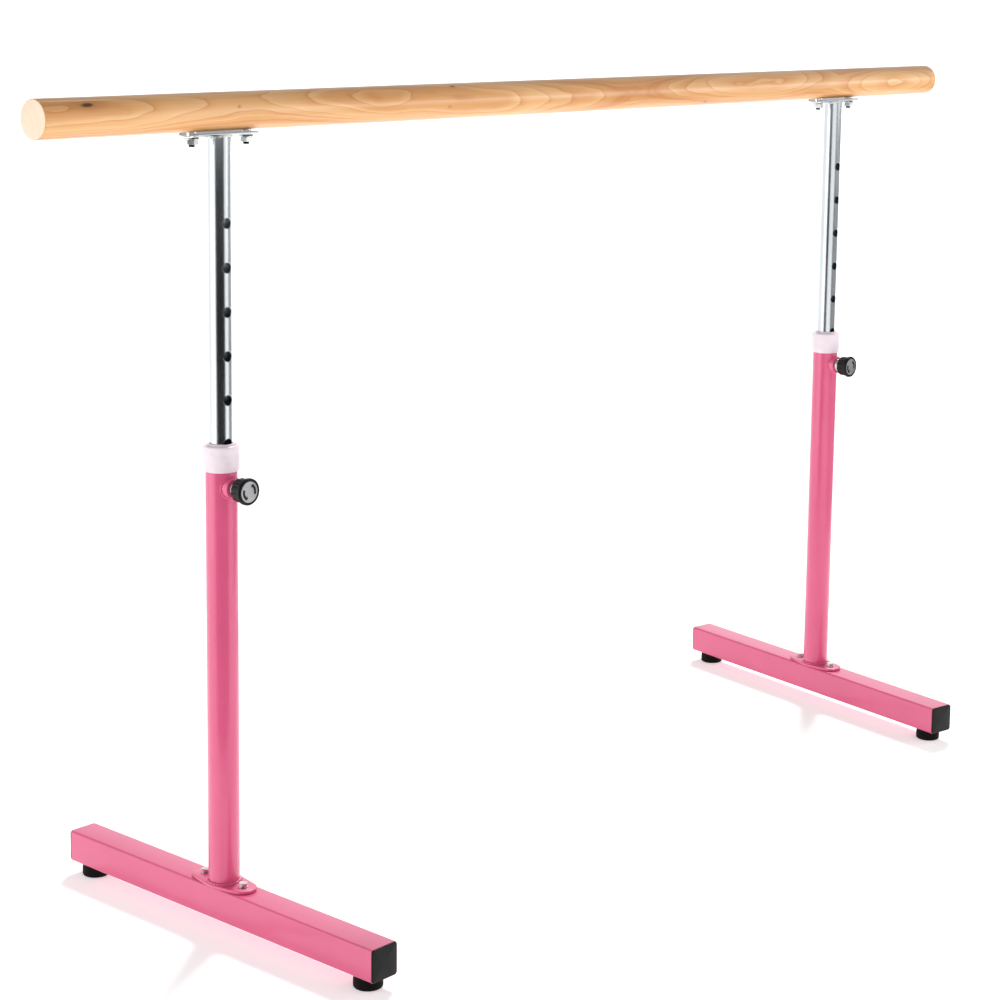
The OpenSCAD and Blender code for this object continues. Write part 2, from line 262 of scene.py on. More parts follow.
def lathe(skin, profile, matrix, steps=96, shape=None):
    """Turns an (r, z) profile round local Z. An open profile starts and ends on the axis.

    shape(r, z, angle) may return a changed radius."""
    start = len(skin.verts)
    rows = []
    for r, z in profile:
        row = []
        for i in range(steps):
            a = TURN * i / steps
            here = shape(r, z, a) if shape else r
            row.append((here * math.cos(a), here * math.sin(a), z))
        rows.append(row)
    on_axis = profile[0][0] < 1e-6 and profile[-1][0] < 1e-6
    skin.rows(rows, wrap_rows=not on_axis)
    skin.moved(matrix, start)


def hexagon(flats, a):
    """Radius of a hexagon at angle a, one corner at angle 0."""
    return flats / 2 / math.cos((a % (TURN / 6)) - TURN / 12)


def hex_solid(skin, flats, low, high, matrix, bore=0.0, steps=72):
    """A nut or a bolt head, its corners chamfered as a turned bar's are."""
    start = len(skin.verts)
    inside = flats / 2 * 0.97
    slope = math.tan(math.radians(30))
    angles = [TURN * i / steps for i in range(steps)]

    def corner_row(z, direction):
        row = []
        for a in angles:
            r = hexagon(flats, a)
            row.append((r * math.cos(a), r * math.sin(a), z - direction * max(0, r - inside) * slope))
        return row

    def round_row(r, z):
        return [(r * math.cos(a), r * math.sin(a), z) for a in angles]

    outer = [round_row(inside, low), corner_row(low, -1), corner_row(high, 1), round_row(inside, high)]
    if bore:
        rows = outer + [round_row(bore + 0.6, high), round_row(bore, high - 0.6)]
        rows += [round_row(bore, low + 0.6), round_row(bore + 0.6, low)]
        skin.rows(rows, wrap_rows=True)
    else:
        rows = outer + [round_row(inside * 0.55, high - 0.15), round_row(1e-4, high - 0.15)]
        skin.rows([round_row(1e-4, low)] + rows)
    skin.moved(matrix, start)


def sweep_loop(skin, centres, outs, sides_up, size, ripple=0.0, ripples=0, sides=10):
    """A bead along a closed curve. outs and sides_up are the two directions of its section."""
    rows = []
    count = len(centres)
    for i, (centre, out, up) in enumerate(zip(centres, outs, sides_up)):
        swell = size + ripple * abs(math.sin(math.pi * ripples * i / count))
        swell += ripple * 0.8 * noise.noise(Vector(centre) * 0.35)
        row = []
        for k in range(sides):
            a = TURN * k / sides
            row.append(centre + out * (swell * math.cos(a)) + up * (swell * math.sin(a)))
        rows.append(row)
    skin.rows(rows, wrap_rows=True)


def weld_bead(skin, centre_at, steps, size, ripple, ripples):
    """A rippled bead round an upright axis; centre_at gives its middle at each angle."""
    angles = [TURN * i / steps for i in range(steps)]
    outs = [Vector((math.cos(a), math.sin(a), 0)) for a in angles]
    ups = [Vector((0, 0, 1)) for a in angles]
    sweep_loop(skin, [centre_at(a) for a in angles], outs, ups, size, ripple=ripple, ripples=ripples)


def outline_offset(outline, inset):
    """Moves a closed, smooth outline inwards by inset."""
    count = len(outline)
    moved = []
    for i, point in enumerate(outline):
        along = Vector(outline[(i + 1) % count]) - Vector(outline[i - 1])
        inward = Vector((-along.y, along.x)).normalized()
        moved.append(Vector(point) + inward * inset)
    return moved


def prism(skin, outline, low, high, edge, matrix, dome=0.0):
    """An anticlockwise outline extruded from low to high, its edges rounded to edge."""
    start = len(skin.verts)
    rows = []
    for a in (90, 60, 30, 0):
        inset = edge * (1 - math.cos(math.radians(a)))
        z = low + edge * (1 - math.sin(math.radians(a)))
        rows.append([(p.x, p.y, z) for p in outline_offset(outline, inset)])
    for a in (0, 30, 60, 90):
        inset = edge * (1 - math.cos(math.radians(a)))
        z = high - edge * (1 - math.sin(math.radians(a)))
        rows.append([(p.x, p.y, z) for p in outline_offset(outline, inset)])
    ids = skin.rows(rows)
    skin.cap(ids[0], (0, 0, low))
    skin.cap(ids[-1], (0, 0, high + dome))
    skin.moved(matrix, start)


def square_outline(half_w, half_h, r, steps=6):
    """A rounded square, anticlockwise."""
    points = []
    for quarter, (sx, sy) in enumerate(((1, 1), (-1, 1), (-1, -1), (1, -1))):
        centre = (sx * (half_w - r), sy * (half_h - r))
        points += arc(centre, r, 90 * quarter, 90 * quarter + 90, steps)
    return points


# ---------------------------------------------------------------- material helpers


class Recipe:
    """One node material, made step by step."""

    def __init__(self, name):
        self.material = bpy.data.materials.new(name)
        self.material.use_nodes = True
        self.tree = self.material.node_tree
        self.shader = self.tree.nodes["Principled BSDF"]
        self.place = self.node("ShaderNodeTexCoord").outputs["Object"]

    def node(self, kind, **settings):
        made = self.tree.nodes.new(kind)
        for key, value in settings.items():
            setattr(made, key, value)
        return made

    def wire(self, source, target):
        self.tree.links.new(source, target)

    def set(self, **values):
        for key, value in values.items():
            self.shader.inputs[key.replace("_", " ")].default_value = value

    def map(self, source, scale=(1, 1, 1), location=(0, 0, 0), rotation=(0, 0, 0)):
        made = self.node("ShaderNodeMapping")
        made.inputs["Scale"].default_value = scale
        made.inputs["Location"].default_value = location
        made.inputs["Rotation"].default_value = rotation
        self.wire(source, made.inputs["Vector"])
        return made.outputs["Vector"]

    def noise(self, source, scale, detail=2.0, roughness=0.5, distortion=0.0):
        made = self.node("ShaderNodeTexNoise")
        made.inputs["Scale"].default_value = scale
        made.inputs["Detail"].default_value = detail
        made.inputs["Roughness"].default_value = roughness
        made.inputs["Distortion"].default_value = distortion
        self.wire(source, made.inputs["Vector"])
        return made

    def bands(self, distance, scale):
        """Uneven bands along one measure, such as the rings of a tree."""
        made = self.node("ShaderNodeTexNoise", noise_dimensions="1D")
        made.inputs["Scale"].default_value = scale
        made.inputs["Detail"].default_value = 1.0
        self.wire(distance, made.inputs["W"])
        return made.outputs["Fac"]

    def math(self, operation, a, b=None, clamp=False):
        made = self.node("ShaderNodeMath", operation=operation, use_clamp=clamp)
        for socket, value in zip(made.inputs, (a, b)):
            if isinstance(value, (int, float)):
                socket.default_value = value
            elif value is not None:
                self.wire(value, socket)
        return made.outputs[0]

    def vector(self, operation, a, b=None):
        made = self.node("ShaderNodeVectorMath", operation=operation)
        for socket, value in zip(made.inputs, (a, b)):
            if isinstance(value, (tuple, list, Vector)):
                socket.default_value = value
            elif value is not None:
                self.wire(value, socket)
        return made

    def range(self, source, low, high, to_low=0.0, to_high=1.0, smooth=False):
        made = self.node("ShaderNodeMapRange")
        made.interpolation_type = "SMOOTHSTEP" if smooth else "LINEAR"
        limits = {"From Min": low, "From Max": high, "To Min": to_low, "To Max": to_high}
        for key, value in limits.items():
            made.inputs[key].default_value = value
        self.wire(source, made.inputs["Value"])
        return made.outputs["Result"]

    def ramp(self, source, stops):
        made = self.node("ShaderNodeValToRGB")
        elements = made.color_ramp.elements
        while len(elements) < len(stops):
            elements.new(0.5)
        for element, (position, colour) in zip(elements, stops):
            element.position = position
            element.color = (*colour, 1)
        self.wire(source, made.inputs["Fac"])
        return made.outputs["Color"]

    def blend(self, fac, a, b, mode="MIX"):
        made = self.node("ShaderNodeMix", data_type="RGBA", blend_type=mode)
        for socket, value in ((made.inputs[0], fac), (made.inputs[6], a), (made.inputs[7], b)):
            if isinstance(value, (int, float)):
                socket.default_value = value
            elif isinstance(value, tuple):
                socket.default_value = (*value, 1)
            else:
                self.wire(value, socket)
        return made.outputs[2]

    def colour(self, source):
        self.wire(source, self.shader.inputs["Base Color"])

    def rough(self, source, low, high):
        self.wire(self.range(source, 0.25, 0.75, low, high), self.shader.inputs["Roughness"])

    def bump(self, height, distance, strength=1.0, below=None):
        made = self.node("ShaderNodeBump")
        made.inputs["Strength"].default_value = strength
        made.inputs["Distance"].default_value = distance
        self.wire(height, made.inputs["Height"])
        if below is not None:
            self.wire(below, made.inputs["Normal"])
        self.wire(made.outputs["Normal"], self.shader.inputs["Normal"])
        return made.outputs["Normal"]


# ---------------------------------------------------------------- materials

KNOTS = (
    # place on the bar's surface in metres, size across, how drawn out it is, darkness
    ((-0.824, -0.0172, 0.0145), 0.0064, 3.2, 1.0),
    ((-0.612, -0.0210, 0.0060), 0.0022, 1.3, 0.5),
    ((-0.248, -0.0120, 0.0190), 0.0030, 2.2, 0.8),
    ((-0.262, -0.0215, -0.0060), 0.0024, 1.5, 0.8),
    ((0.276, -0.0150, -0.0168), 0.0030, 2.4, 0.7),
)


def pine():
    """Rings round a wandering pith that runs behind the bar, so that its face shows long flames."""
    m = Recipe("pine")
    m.set(Coat_Weight=0.3, Coat_Roughness=0.25, IOR=1.5)
    wander = m.noise(m.map(m.place, scale=(2.3, 4, 4), location=(3.1, 0, 0)), 1.0, 1.0, 0.5)
    ripple = m.noise(m.map(m.place, scale=(11, 30, 30)), 1.0, 2.0, 0.5)
    fine = m.noise(m.map(m.place, scale=(6, 460, 460)), 1.0, 3.0, 0.6)
    from_pith = m.map(m.place, location=(0, -0.016, 0.004 - BAR_Z * MM), scale=(0, 1, 1))
    for source, size in ((wander, 0.055), (ripple, 0.005)):
        offset = m.vector("SUBTRACT", source.outputs["Color"], (0.5, 0.5, 0.5)).outputs[0]
        push = m.vector("MULTIPLY", offset, (0.0, size, size)).outputs[0]
        from_pith = m.vector("ADD", from_pith, push).outputs[0]
    age = m.vector("LENGTH", from_pith).outputs["Value"]
    uneven = m.bands(age, 240)
    years = m.math("ADD", m.math("MULTIPLY", age, 320), m.math("MULTIPLY", uneven, 2.2))
    wood = m.ramp(
        m.math("FRACT", years),
        (
            (0.0, (0.78, 0.45, 0.195)),
            (0.45, (0.75, 0.40, 0.155)),
            (0.80, (0.70, 0.34, 0.115)),
            (0.92, (0.64, 0.275, 0.075)),
            (1.0, (0.78, 0.445, 0.19)),
        ),
    )
    broad = m.ramp(m.bands(age, 110), ((0.35, (0.88, 0.80, 0.70)), (0.65, (1.04, 1.10, 1.18))))
    wood = m.blend(0.8, wood, broad, "MULTIPLY")
    streaks = m.noise(m.map(m.place, scale=(2.2, 70, 70)), 1.0, 2.0, 0.5)
    streak = m.ramp(streaks.outputs["Fac"], ((0.35, (0.92, 0.87, 0.82)), (0.65, (1.02, 1.04, 1.07))))
    wood = m.blend(0.7, wood, streak, "MULTIPLY")
    fibre = m.ramp(fine.outputs["Fac"], ((0.30, (0.90, 0.86, 0.81)), (0.62, (1.0, 1.0, 1.0))))
    wood = m.blend(0.5, wood, fibre, "MULTIPLY")
    for (x, y, z), size, drawn, dark in KNOTS:
        wood = knot(m, wood, (x, y, z + BAR_Z * MM), size, drawn, dark)
    normal = m.node("ShaderNodeNewGeometry").outputs["Normal"]
    sideways = m.node("ShaderNodeSeparateXYZ")
    m.wire(normal, sideways.inputs[0])
    end = m.range(m.math("ABSOLUTE", sideways.outputs[0]), 0.6, 0.9)
    pale = m.blend(0.7, wood, (0.80, 0.66, 0.53))
    m.colour(m.blend(end, wood, pale))
    m.rough(fine.outputs["Fac"], 0.42, 0.34)
    m.bump(fine.outputs["Fac"], 0.0002, 0.25)
    return m.material


def knot(m, wood, place, size, drawn, dark):
    """A small dark knot with a soft halo, drawn out along the bar."""
    away = m.vector("SUBTRACT", m.place, place).outputs[0]
    shape = m.vector("MULTIPLY", away, (1 / drawn, 1.0, 1.15)).outputs[0]
    ragged = m.noise(m.map(m.place, scale=(90, 300, 300)), 1.0, 2.0)
    distance = m.vector("LENGTH", shape).outputs["Value"]
    distance = m.math("ADD", distance, m.range(ragged.outputs["Fac"], 0.3, 0.7, -0.0007, 0.0007))
    halo = m.range(distance, size * 0.5, size * 1.9, 0.55 * dark, 0.0, smooth=True)
    core = m.range(distance, size * 0.25, size * 0.62, 0.95 * dark, 0.0, smooth=True)
    wood = m.blend(halo, wood, (0.46, 0.18, 0.05))
    return m.blend(core, wood, (0.055, 0.018, 0.006))


def powder_coat():
    m = Recipe("pink_powder_coat")
    m.set(Roughness=0.30, IOR=1.5, Coat_Weight=0.6, Coat_Roughness=0.12)
    peel = m.noise(m.place, 420, 2.0, 0.5)
    speck = m.noise(m.place, 1500, 2.0, 0.6)
    cloud = m.noise(m.place, 9, 2.0, 0.5)
    pink = m.ramp(cloud.outputs["Fac"], ((0.3, (0.66, 0.072, 0.195)), (0.7, (0.70, 0.085, 0.215))))
    grains = m.ramp(speck.outputs["Fac"], ((0.35, (0.93, 0.88, 0.90)), (0.6, (1.0, 1.0, 1.0))))
    m.colour(m.blend(0.6, pink, grains, "MULTIPLY"))
    m.rough(peel.outputs["Fac"], 0.30, 0.40)
    first = m.bump(peel.outputs["Fac"], 0.0004, 0.10)
    m.bump(speck.outputs["Fac"], 0.00008, 0.12, below=first)
    return m.material


def zinc():
    m = Recipe("bright_zinc")
    m.set(Metallic=1.0)
    drawn = m.noise(m.map(m.place, scale=(900, 900, 6)), 1.0, 3.0, 0.6)
    cloud = m.noise(m.map(m.place, scale=(30, 30, 5)), 1.0, 2.0, 0.55)
    speck = m.noise(m.place, 700, 2.0, 0.7)
    tone = m.ramp(cloud.outputs["Fac"], ((0.3, (0.54, 0.575, 0.60)), (0.7, (0.63, 0.66, 0.68))))
    streak = m.ramp(drawn.outputs["Fac"], ((0.3, (0.88, 0.89, 0.90)), (0.65, (1.0, 1.0, 1.0))))
    tone = m.blend(0.7, tone, streak, "MULTIPLY")
    spots = m.ramp(speck.outputs["Fac"], ((0.26, (0.72, 0.70, 0.66)), (0.36, (1.0, 1.0, 1.0))))
    m.colour(m.blend(0.6, tone, spots, "MULTIPLY"))
    m.rough(cloud.outputs["Fac"], 0.20, 0.28)
    m.bump(drawn.outputs["Fac"], 0.00003, 0.3)
    return m.material


def fastener_steel(name, base, low, high, bump_scale=600):
    m = Recipe(name)
    m.set(Metallic=1.0)
    grain = m.noise(m.place, bump_scale, 3.0, 0.6)
    cloud = m.noise(m.place, 90, 2.0)
    darker = tuple(0.78 * c for c in base)
    m.colour(m.ramp(cloud.outputs["Fac"], ((0.3, darker), (0.7, base))))
    m.rough(grain.outputs["Fac"], low, high)
    m.bump(grain.outputs["Fac"], 0.00005, 0.3)
    return m.material


def plastic(name, base, low, high, grain_scale, depth, **more):
    m = Recipe(name)
    m.set(IOR=1.49, **more)
    grain = m.noise(m.place, grain_scale, 3.0, 0.6)
    cloud = m.noise(m.place, 45, 2.0)
    lighter = tuple(min(1.0, 1.25 * c + 0.001) for c in base)
    m.colour(m.ramp(cloud.outputs["Fac"], ((0.3, base), (0.75, lighter))))
    m.rough(grain.outputs["Fac"], low, high)
    m.bump(grain.outputs["Fac"], depth, 0.35)
    return m.material


def milky_plastic():
    m = Recipe("milky_plastic")
    m.set(
        IOR=1.47,
        Subsurface_Weight=0.35,
        Subsurface_Radius=(0.006, 0.004, 0.005),
        Subsurface_Scale=1.0,
        Coat_Weight=0.15,
        Coat_Roughness=0.25,
    )
    cloud = m.noise(m.place, 60, 3.0, 0.55)
    turned = m.noise(m.map(m.place, scale=(30, 30, 900)), 1.0, 2.0)
    m.colour(m.ramp(cloud.outputs["Fac"], ((0.3, (0.76, 0.64, 0.70)), (0.7, (0.82, 0.72, 0.77)))))
    m.rough(turned.outputs["Fac"], 0.36, 0.46)
    m.bump(turned.outputs["Fac"], 0.00006, 0.25)
    return m.material


def label_disc():
    m = Recipe("label_disc")
    m.set(Metallic=0.75, IOR=1.5)
    grain = m.noise(m.map(m.place, scale=(1400, 60, 300)), 1.0, 3.0, 0.6)
    m.colour(m.ramp(grain.outputs["Fac"], ((0.3, (0.30, 0.30, 0.31)), (0.7, (0.41, 0.41, 0.42)))))
    m.rough(grain.outputs["Fac"], 0.30, 0.42)
    m.bump(grain.outputs["Fac"], 0.00002, 0.3)
    return m.material


MATERIALS = {
    "pine": pine(),
    "pink_powder_coat": powder_coat(),
    "bright_zinc": zinc(),
    "fastener_steel": fastener_steel("fastener_steel", (0.74, 0.74, 0.73), 0.22, 0.34),
    "black_oxide_steel": fastener_steel("black_oxide_steel", (0.055, 0.05, 0.048), 0.35, 0.5),
    "spring_steel": fastener_steel("spring_steel", (0.45, 0.45, 0.46), 0.25, 0.4),
    "black_plastic": plastic(
        "black_plastic", (0.004, 0.0042, 0.0044), 0.30, 0.42, 1300, 0.00008, Specular_IOR_Level=0.2
    ),
    "black_rubber": plastic(
        "black_rubber", (0.004, 0.0035, 0.0035), 0.55, 0.72, 900, 0.00012, Specular_IOR_Level=0.1
    ),
    "white_plastic": plastic("white_plastic", (0.78, 0.78, 0.75), 0.35, 0.5, 800, 0.00005),
    "milky_plastic": milky_plastic(),
    "label_disc": label_disc(),
}

# ---------------------------------------------------------------- camera


def make_camera():
    """Stands to the left of the knobs' side and looks along the barre, slightly down."""
    place = Vector((-2.4038, -2.0603, 1.1527))
    turn, tilt, roll = 49.487, 8.681, 0.910
    camera = bpy.data.objects.new("camera", bpy.data.cameras.new("camera"))
    bpy.context.scene.collection.objects.link(camera)
    camera.data.sensor_width = 36
    camera.data.lens = 84.03
    camera.data.shift_x = -0.072
    camera.data.shift_y = -0.172
    aim = Matrix.Rotation(math.radians(-turn), 4, "Z") @ Matrix.Rotation(math.radians(90 - tilt), 4, "X")
    camera.matrix_world = Matrix.Translation(place) @ aim @ Matrix.Rotation(math.radians(roll), 4, "Z")
    bpy.context.scene.camera = camera


make_camera()

# ---------------------------------------------------------------- bar


def make_bar():
    skin = Skin()
    corners = [(0, -BAR_END, 0), (BAR_R, -BAR_END, 1.6), (BAR_R, BAR_END, 1.6), (0, BAR_END, 0)]
    outline = rounded(corners, closed=False, steps=5)
    profile = split_stretches(outline, 60)

    def hand_turned(r, z, a):
        """The faint unevenness of a planed and sanded bar."""
        if r < BAR_R * 0.5 or abs(z) > BAR_END - 3:
            return r
        return r - 0.10 + 0.10 * noise.noise(Vector((math.cos(a), math.sin(a), z / 90)))

    along_x = at(0, 0, BAR_Z) @ Matrix.Rotation(math.radians(90), 4, "Y")
    lathe(skin, profile, along_x, steps=128, shape=hand_turned)
    piece("wooden_bar", skin, "barre", "pine", ("bar",))


make_bar()

# ---------------------------------------------------------------- stands


def make_base(side):
    skin = Skin()
    outer = square_outline(BASE_W, BASE_W, 3.0)
    inner = square_outline(BASE_W - BASE_WALL, BASE_W - BASE_WALL, 1.5)
    mid_z = (BASE_LOW + BASE_TOP) / 2
    turn = base_place(side) @ at(z=mid_z) @ Matrix.Rotation(math.radians(90), 4, "X")
    rows = [[(x, y, z) for x, y in outer] for z in (-BASE_Y, -BASE_Y / 2, 0, BASE_Y / 2, BASE_Y)]
    rows += [[(x, y, z) for x, y in inner] for z in (BASE_Y, -BASE_Y)]
    skin.rows(rows, wrap_rows=True)
    skin.moved(turn)
    piece(side + "_base", skin, "stands", "pink_powder_coat", (side + "_base_tube",))


def make_end_caps(side):
    skin = Skin()
    mid_z = (BASE_LOW + BASE_TOP) / 2
    plug = BASE_W - BASE_WALL - 0.2
    for sign in (-1, 1):
        turn = base_place(side) @ at(y=sign * BASE_END, z=mid_z)
        turn = turn @ Matrix.Rotation(math.radians(90 * sign), 4, "X")
        prism(skin, square_outline(BASE_W - 0.1, BASE_W - 0.1, 4.0), 0.0, 2.0, 0.9, turn)
        prism(skin, square_outline(plug, plug, 2.5), 1.9, 16.0, 0.8, turn)
    piece(side + "_tube_ends", skin, "stands", "black_plastic", (side + "_end_caps",))


def make_feet(side):
    skin = Skin()
    hole_r, recess_r, recess = 2.8, 6.5, 6
    corners = [
        (hole_r, recess, 0.3),
        (recess_r, recess, 0.3),
        (recess_r, 0, 0.8),
        (FOOT_R, 0, 2.6),
        (FOOT_R, 9, 3),
        (FOOT_R - 0.7, BASE_LOW, 0.7),
        (hole_r, BASE_LOW, 0.3),
    ]
    for sign in (-1, 1):
        lathe(skin, rounded(corners), base_place(side) @ at(y=sign * FOOT_Y))
    piece(side + "_rubber_feet", skin, "stands", "black_rubber", (side + "_feet",))


def plate_outline(mid_r, end_r, reach, steps=14):
    """Anticlockwise outline with a wide middle and a round lobe at each end, along Y."""
    lean = math.degrees(math.asin((mid_r - end_r) / reach))
    points = arc((0, 0), mid_r, -lean, lean, 2)
    points += arc((0, reach), end_r, lean, 180 - lean, steps)
    points += arc((0, 0), mid_r, 180 - lean, 180 + lean, 2)
    points += arc((0, -reach), end_r, 180 + lean, 360 - lean, steps)
    return points


def make_flange(side):
    skin = Skin()
    outline = plate_outline(PLATE_MID_R, PLATE_LOBE_R, BOLT_Y)
    prism(skin, outline, BASE_TOP, PLATE_TOP, 0.8, base_place(side))
    piece(side + "_plate", skin, "stands", "pink_powder_coat", (side + "_flange_plate",))


def make_flange_bolts(side):
    skin = Skin()
    flats, bolt_r, hole_r = 10.0, 3.0, 3.2
    seat = PLATE_TOP + 1.2
    shank_low, shank_top = 39.2, PLATE_TOP + 1.3
    washer = [
        (hole_r, PLATE_TOP, 0.1),
        (WASHER_R, PLATE_TOP, 0.3),
        (WASHER_R, seat, 0.4),
        (hole_r, seat, 0.1),
    ]
    shank = [
        (0, shank_low),
        (bolt_r - 0.4, shank_low),
        (bolt_r, shank_low + 0.6),
        (bolt_r, shank_top),
        (0, shank_top),
    ]
    for sign in (-1, 1):
        place = base_place(side) @ at(y=sign * BOLT_Y) @ Matrix.Rotation(0.35 * sign, 4, "Z")
        lathe(skin, rounded(washer), place, steps=64)
        hex_solid(skin, flats, seat, BOLT_TOP, place)
        lathe(skin, shank, place, steps=32)
    piece(side + "_plate_bolts", skin, "stands", "fastener_steel", (side + "_flange_bolts",))


def make_post(side):
    skin = Skin()
    bore = POST_R - POST_WALL
    corners = [
        (bore, POST_FOOT, 0.2),
        (POST_R, POST_FOOT, 0.2),
        (POST_R, POST_TOP, 0.5),
        (bore, POST_TOP, 0.3),
    ]
    lathe(skin, rounded(corners), stand_place(side), steps=128)
    piece(side + "_post_tube", skin, "stands", "pink_powder_coat", (side + "_post",))


def make_post_weld(side):
    """The fillet of weld round the foot of the post, painted with it."""
    skin = Skin()
    r = POST_R + 0.5

    def foot_of_post(a):
        return Vector((STAND_X[side] + r * math.cos(a), r * math.sin(a), PLATE_TOP + 0.5))

    weld_bead(skin, foot_of_post, 240, 1.6, 0.45, 34)
    piece(side + "_post_weld", skin, "stands", "pink_powder_coat", sharp=60)


def make_collar(side):
    skin = Skin()
    low, high = POST_TOP - 24, COLLAR_HIGH - 2
    skirt_r, step_z = COLLAR_R - 0.9, low + 2.2
    corners = [
        (SLEEVE_BORE_R, COLLAR_LOW, 0.2),
        (SLEEVE_R, COLLAR_LOW, 0.4),
        (SLEEVE_R, POST_TOP, 0),
        (POST_R + 0.05, POST_TOP, 0),
        (POST_R + 0.05, low, 0.3),
        (skirt_r, low, 0.35),
        (skirt_r, step_z, 0.15),
        (COLLAR_R, step_z, 0.5),
        (COLLAR_R, high, 3.0),
        (17.6, high, 0.5),
        (17.1, high - 1.1, 0.4),
        (16.1, high - 1.1, 0.3),
        (15.9, COLLAR_HIGH, 0.6),
        (SLEEVE_BORE_R, COLLAR_HIGH, 0.5),
    ]
    lathe(skin, rounded(corners, steps=5), stand_place(side), steps=128)
    piece(side + "_post_collar", skin, "stands", "milky_plastic", (side + "_collar",))


# ---------------------------------------------------------------- pull pins and knobs


def on_post(r, a):
    """A point of the circle r round the pin's axis, laid on the post; local Z is outwards."""
    x, y = r * math.cos(a), r * math.sin(a)
    return Vector((x, y, math.sqrt(POST_R**2 - x**2)))


def make_boss(side):
    skin = Skin()
    steps = 96
    angles = [TURN * i / steps for i in range(steps)]
    rows = [[on_post(BOSS_R, a) for a in angles]]
    turned = [
        (BOSS_R, BOSS_END - 1.0),
        (BOSS_R - 0.3, BOSS_END - 0.3),
        (BOSS_R - 1.0, BOSS_END),
        (8.6, BOSS_END),
        (BOSS_BORE_R, BOSS_END - 0.6),
    ]
    for r, z in turned:
        rows.append([(r * math.cos(a), r * math.sin(a), z) for a in angles])
    rows.append([on_post(BOSS_BORE_R, a) for a in angles])
    skin.rows(rows, wrap_rows=True)
    skin.moved(pin_place(side))
    piece(side + "_boss", skin, "stands", "pink_powder_coat", (side + "_pin_boss",))


def make_boss_weld(side):
    """The weld that joins the boss to the post, following the post's round side."""
    skin = Skin()

    def foot_of_boss(a):
        return on_post(BOSS_R + 0.25, a) + Vector((0, 0, 0.25))

    weld_bead(skin, foot_of_boss, 160, 1.15, 0.35, 22)
    skin.moved(pin_place(side))
    piece(side + "_boss_weld", skin, "stands", "pink_powder_coat", sharp=60)


def make_bushing(side):
    """The housing: a neck in the boss, a head with a groove, and the spring's chamber."""
    skin = Skin()
    neck_r, end_r, groove_r = 8.0, 8.6, 8.9
    chamber_r, chamber_start, chamber_end = 7.0, 24.3, 42.3
    corners = [
        (PIN_BORE_R, BUSHING_START, 0.2),
        (neck_r, BUSHING_START, 0.3),
        (neck_r, BOSS_END, 0),
        (BUSHING_R, BOSS_END + 0.05, 0.5),
        (BUSHING_R, BOSS_END + 3.2, 0.4),
        (groove_r, BOSS_END + 3.8, 0.2),
        (groove_r, BOSS_END + 4.6, 0.2),
        (BUSHING_R - 0.1, BOSS_END + 5.2, 0.4),
        (BUSHING_R - 0.1, BOSS_END + 7.0, 0.5),
        (end_r, BOSS_END + 7.0, 0.2),
        (end_r, BUSHING_END, 0.6),
        (ROD_BORE_R, BUSHING_END, 0.2),
        (ROD_BORE_R, chamber_end, 0.1),
        (chamber_r, chamber_end, 0.1),
        (chamber_r, chamber_start, 0.1),
        (PIN_BORE_R, chamber_start, 0.1),
    ]
    lathe(skin, rounded(corners), pin_place(side))
    piece(side + "_bushing", skin, "stands", "fastener_steel", (side + "_pin_bushing",))


def make_knob(side):
    skin = Skin()
    rim = KNOB_FRONT - 5.2
    hollow_r, hollow_end, rod_end = 10.0, 45.3, 48.3
    seat = KNOB_FRONT - DISC_RECESS
    corners = [
        (hollow_r, KNOB_BACK, 0.4),
        (14.3, KNOB_BACK, 1.2),
        (14.8, rim - 0.6, 0.3),
        (KNOB_R, rim + 0.5, 0.7),
        (KNOB_R, KNOB_FRONT, 1.9),
        (DISC_R + 0.1, KNOB_FRONT, 0.5),
        (DISC_R + 0.1, seat, 0.1),
        (0.0, seat, 0),
    ]
    inside = [(0, rod_end), (ROD_BORE_R, rod_end), (ROD_BORE_R, hollow_end), (hollow_r, hollow_end)]
    outline = rounded(corners, closed=False, steps=5)
    profile = inside + split_stretches(outline, 1.2)

    def fluted(r, z, a):
        """Twelve shallow finger flutes along the grip, fading out before the rim."""
        if r < 13 or z > rim + 0.2:
            return r
        wave = max(0.0, math.cos(12 * a)) ** 0.7
        fade = min(1.0, max(0.0, (rim - z) / 2.0)) * min(1.0, max(0.0, (z - KNOB_BACK + 0.6) / 1.5))
        return r - 0.95 * wave * fade

    lathe(skin, profile, pin_place(side), steps=240, shape=fluted)
    piece(side + "_grip_knob", skin, side + "_knob", "black_plastic", (side + "_knob",), sharp=40)


def make_disc(side):
    skin = Skin()
    back = KNOB_FRONT - DISC_RECESS
    corners = [(0, back, 0), (DISC_R, back, 0.05), (DISC_R, DISC_FRONT, 0.25), (0, DISC_FRONT, 0)]
    lathe(skin, rounded(corners, closed=False), pin_place(side))
    piece(side + "_disc", skin, side + "_knob", "label_disc", (side + "_knob_disc",))


def make_arrows(side):
    """Two plain curved arrows printed on the disc, one on each side."""
    skin = Skin()
    low, high = DISC_FRONT - 0.02, DISC_FRONT + 0.05
    mid_r, half = DISC_R * 0.68, DISC_R * 0.13
    for turn in (20, 200):
        band = arc((0, 0), mid_r + half, turn - 42, turn + 34, 16)
        tip = arc((0, 0), mid_r, turn + 52, turn + 52, 1)[:1]
        barb_out = arc((0, 0), mid_r + 2.1 * half, turn + 32, turn + 32, 1)[:1]
        barb_in = arc((0, 0), mid_r - 2.1 * half, turn + 32, turn + 32, 1)[:1]
        back = arc((0, 0), mid_r - half, turn + 34, turn - 42, 16)
        outline = band + barb_out + tip + barb_in + back
        flat_shape(skin, outline, low, high)
    skin.moved(pin_place(side))
    piece(side + "_disc_arrows", skin, side + "_knob", "black_plastic", sharp=20)


